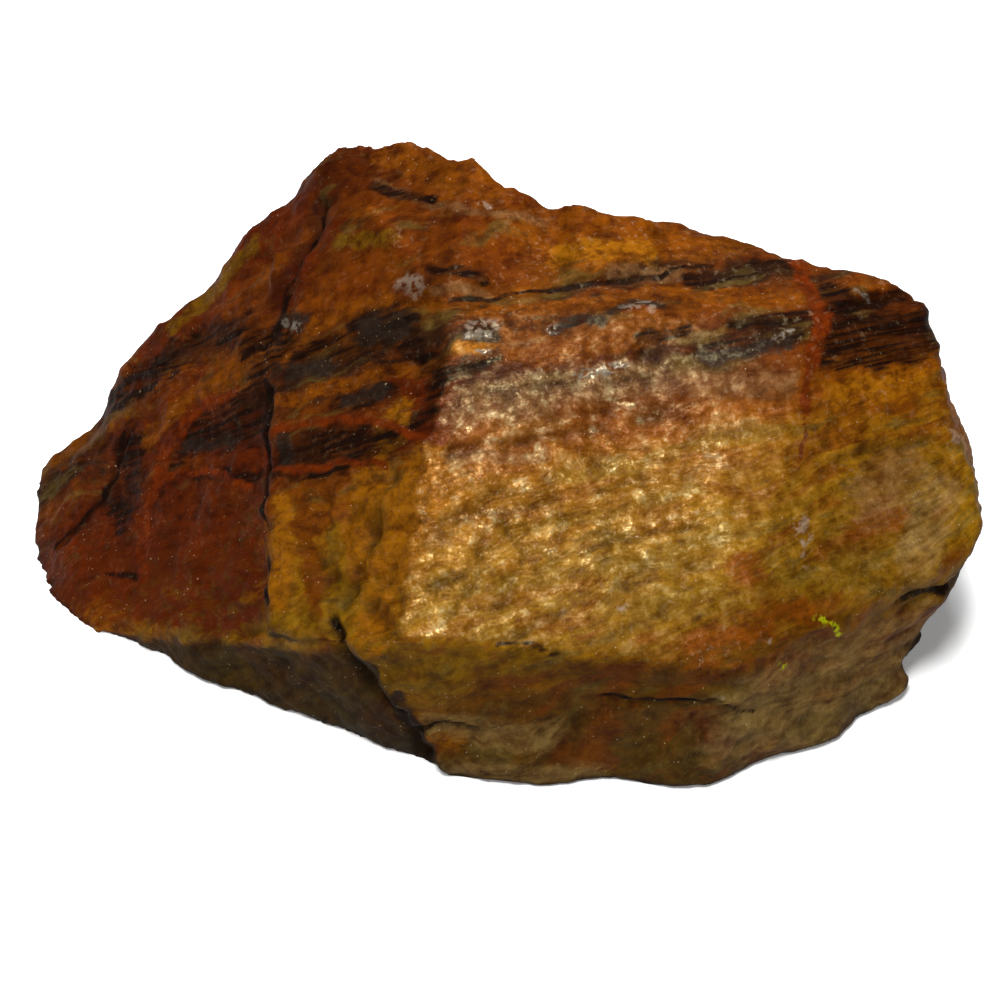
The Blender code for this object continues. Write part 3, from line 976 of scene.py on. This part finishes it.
class Patterns:
    """The patterns of the quartz, each a wire, on the stone and along its beds."""

    def __init__(self, finish, move):
        self.finish = finish
        spot = finish.node("ShaderNodeTexCoord", output="Object")
        self.place = finish.node(
            "ShaderNodeMapping", None,
            {"Vector": spot, "Location": -move, "Scale": (1 / MM, 1 / MM, 1 / MM)})
        self.along = self.part(ALONG)
        self.into = self.part(INTO)
        self.lie = finish.stored("lie")
        wave = (self.cloudy(WANDER) - 0.5) * WANDER_REACH
        wave = wave + (self.cloudy(WAVER) - 0.5) * WAVER_REACH
        self.level = self.lie + wave
        self.streak = self.drawn_out(STREAK)
        self.thread = self.drawn_out(THREAD)
        self.mottle = self.cloudy(MOTTLE)
        self.cloud = self.cloudy(CLOUD)
        self.height = finish.stored("bed") + wave + (self.streak - 0.5) * STREAK_REACH
        self.gloss = finish.stored("gloss").step(0.1, 0.8)
        self.shade = finish.stored("shade")
        self.under = finish.stored("under")

    def part(self, axis):
        """How far a place lies along an axis."""
        return self.finish.node(
            "ShaderNodeVectorMath", {"operation": "DOT_PRODUCT"}, {0: self.place, 1: axis},
            "Value")

    def cloudy(self, pattern):
        return self.finish.noise(self.place, *pattern)

    def drawn_out(self, pattern, straight=False):
        """A pattern that follows the beds, and wavers with them unless it is straight."""
        length, thickness, detail, roughness = pattern
        height = self.lie if straight else self.level
        beds = self.finish.node(
            "ShaderNodeCombineXYZ", None,
            {"X": self.along / length, "Y": self.into / length, "Z": height / thickness})
        return self.finish.noise(beds, 1.0, detail, roughness)


def bed_colours(finish, look):
    """The colours of the beds by their height, with red and olive patches."""
    reach = BED_HIGH - BED_LOW
    stops = [((height - BED_LOW) / reach, paint(*colour)) for height, colour in STRATA]
    colour = finish.node(
        "ShaderNodeValToRGB", {"stops": stops}, {"Fac": (look.height - BED_LOW) / reach})
    patch = look.drawn_out(PATCH)
    spared = 1.0 - 0.45 * look.gloss
    colour = finish.mix(patch.step(0.5, 0.62) * 0.6 * spared, colour, paint(*RED_PATCH))
    return finish.mix(patch.step(0.46, 0.36) * 0.55 * spared, colour, paint(*OLIVE_PATCH))


def lay_strokes(finish, look, colour):
    """Lays the strokes on the beds, each with its own grain, and returns their masks too."""
    ragged = look.drawn_out(RAGGED) - 0.5
    grained = 0.45 + 0.55 * look.mottle.step(0.35, 0.55)
    flecked = look.cloudy(FLECKS).step(0.4, 0.56)
    grains = {
        "umber": 0.58 + 0.42 * look.drawn_out(STRIPE, straight=True).step(0.58, 0.42),
        "ash": 0.3 + 0.4 * look.streak.step(0.36, 0.62),
        "steel": flecked,
        "quartz": flecked,
        "lime": flecked,
    }
    masks = {}
    for name, tone in COLOURS.items():
        touch = finish.stored(name)
        torn = TORN_LINE if name in LINES else TORN
        grain = grains.get(name, grained)
        if name in THIN:
            grain = grain * THIN_SHARE
        masks[name] = (touch + ragged * torn * touch.step(0.0, 0.2)).step(0.1, 0.65) * grain
        colour = finish.mix(masks[name], colour, paint(*tone))
    return colour, masks


def painted_silky_highlights(finish, look):
    """Where painted silky highlights and the painted lilac sheen lie on the glossy faces."""
    lights = look.mottle.step(0.48, 0.7) * look.gloss * (0.3 + 0.7 * look.streak.step(0.42, 0.62))
    sheen = look.drawn_out(SHEEN, straight=True).step(0.54, 0.68) * finish.stored("lilac")
    sheen = sheen * look.gloss * look.mottle.step(0.35, 0.6) * 0.8
    return finish.math("MAXIMUM", lights, sheen)


def shaded(finish, look, colour):
    """The colour with its grain, with painted shade in low places and on shaded sides."""
    tone = 0.18 * look.streak.step(0.32, 0.66) + 0.14 * look.thread.step(0.34, 0.66)
    tone = tone + 0.46 * look.mottle.step(0.34, 0.65) + 0.22 * look.cloud.step(0.36, 0.66)
    tint = finish.mix(tone, DARK_TINT, LIGHT_TINT)
    light = (1.0 - 0.45 * look.shade) * (1.0 - 0.5 * finish.stored("low"))
    # Painted light: the glossy faces are made brighter.
    light = light * (1.0 + 0.2 * look.gloss)
    return finish.multiply(finish.multiply(colour, tint), light)


def banded_quartz(move):
    """Golden brown banded quartz with a glassy, crinkled break."""
    finish = Finish("banded_quartz")
    look = Patterns(finish, move)
    gloss = look.gloss
    colour, masks = lay_strokes(finish, look, bed_colours(finish, look))
    # Painted shade on the faces that turn under.
    colour = finish.mix(look.under * 0.85, colour, paint(*UNDERSIDE_SHADE))
    lights = painted_silky_highlights(finish, look)
    # Painted highlights: a faint pale sheen over the glossy faces, and pale silky highlights on
    # them.
    colour = finish.mix(gloss * 0.03 + lights * 0.5, colour, paint(*PALE_HIGHLIGHT))
    colour = shaded(finish, look, colour)
    # Painted glints: fine pale specks along the streaks.
    glint_speck = look.cloudy(GLINT_SPECKS).step(0.79, 0.86) * look.streak.step(0.4, 0.62)
    colour = finish.mix(glint_speck * 0.4, colour, paint(*PALE_GLINT))
    fine = look.cloudy(FINE)
    # Painted highlights on the crests of the fine relief, kept off the shaded sides.
    crest = fine.step(0.54, 0.7) * look.cloud.step(0.38, 0.6) * (1.0 - look.shade)
    colour = finish.mix(crest * 0.13, colour, paint(*CREST_HIGHLIGHT))

    hummock = look.drawn_out(HUMMOCK) * 0.46 * (0.65 + 0.35 * gloss)
    bumps = (hummock + fine * (0.16 + 0.05 * gloss) + look.streak * 0.2) * MM
    dull = 0.56 - 0.46 * gloss + 0.08 * look.thread + 0.2 * masks["ash"] + 0.1 * look.under
    finish.surface({
        "Base Color": colour,
        "Roughness": dull - 0.3 * masks["quartz"] - 0.3 * masks["steel"],
        "Metallic": gloss * 0.04 + lights * 0.3 + masks["steel"] * 0.3,
        "Normal": finish.node(
            "ShaderNodeBump", None, {"Height": bumps, "Distance": 1.0, "Strength": 1.0}),
        "IOR": INDEX_OF_REFRACTION,
        "Specular IOR Level": SPECULAR,
    })
    return finish.material


# ---------------------------------------------------------------- the studio

# The camera looks at the target from the front and from above, by the rise in degrees.
TARGET = Vector((1.35, -6.4, 22.0))
CAMERA_DISTANCE = 350.0
CAMERA_RISE = 35.0
LENS = 100.0
SENSOR = 36.0
# The nearest that the camera sees, in metres.
CAMERA_CLIP = 0.01

# The floor glows a little, so that it stays white near the stone.
FLOOR_SIZE = 6.0
FLOOR_COLOUR = (0.95, 0.95, 0.95, 1.0)
FLOOR_ROUGHNESS = 0.9
FLOOR_GLOW = 0.2
SKY_STRENGTH = 0.1

# Round lamps: the place and size of each in metres, its power in watts, the place that it shines
# at and its spread in degrees.
LAMPS = {
    "key": ((-0.13, -0.6, 1.06), 0.28, 15.0, TARGET * MM, 180.0),
    "backdrop": ((0.0, 0.42, 0.9), 0.4, 1.2, Vector((0.0, 0.27, 0.0)), 30.0),
}


def add_floor():
    """A plain white floor."""
    deselect()
    bpy.ops.mesh.primitive_plane_add(size=FLOOR_SIZE)
    floor = bpy.context.object
    floor.name = "floor"
    pale = Finish("pale_floor")
    pale.surface({
        "Base Color": FLOOR_COLOUR,
        "Roughness": FLOOR_ROUGHNESS,
        "Emission Color": WHITE,
        "Emission Strength": FLOOR_GLOW,
    })
    floor.data.materials.append(pale.material)


def add_sky():
    """Even white light from all round."""
    world = bpy.data.worlds.new("studio")
    world.use_nodes = True
    sky = world.node_tree.nodes["Background"]
    sky.inputs["Color"].default_value = WHITE
    sky.inputs["Strength"].default_value = SKY_STRENGTH
    bpy.context.scene.world = world


def add_lamp(name, place, size, power, aim, spread):
    """A round soft lamp that shines towards aim."""
    light = bpy.data.lights.new(name, "AREA")
    light.shape = "DISK"
    light.size = size
    light.energy = power
    light.spread = math.radians(spread)
    lamp = bpy.data.objects.new(name, light)
    lamp.location = place
    lamp.rotation_euler = (aim - lamp.location).to_track_quat("-Z", "Y").to_euler()
    bpy.context.scene.collection.objects.link(lamp)


def add_camera():
    """The camera, at its distance from the target."""
    view = bpy.data.cameras.new("camera")
    view.lens = LENS
    view.sensor_width = SENSOR
    view.clip_start = CAMERA_CLIP
    camera = bpy.data.objects.new("camera", view)
    bpy.context.scene.collection.objects.link(camera)
    back = facing((0, CAMERA_RISE))
    camera.location = (TARGET + back * CAMERA_DISTANCE) * MM
    camera.rotation_euler = (-back).to_track_quat("-Z", "Y").to_euler()
    bpy.context.scene.camera = camera


def studio():
    """The floor, the lights and the camera."""
    add_floor()
    add_sky()
    for name, settings in LAMPS.items():
        add_lamp(name, *settings)
    add_camera()
    bpy.context.scene.view_settings.view_transform = "Standard"


# ---------------------------------------------------------------- making it


def build():
    """The studio, and the stone with its relief, its marks and its finish."""
    studio()
    stone = fuse([split_block(name, planes) for name, planes in BLOCKS.items()])
    stone.name = "rough_stone"
    points, normals = carve(stone)
    mark(stone, points, normals)
    move = settle(stone)
    stone.data.materials.clear()
    stone.data.materials.append(banded_quartz(move))
    deselect()
    stone.select_set(True)
    bpy.context.view_layer.objects.active = stone
    bpy.ops.object.shade_smooth()
    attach(stone, "root")
    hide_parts(NODE)


build()
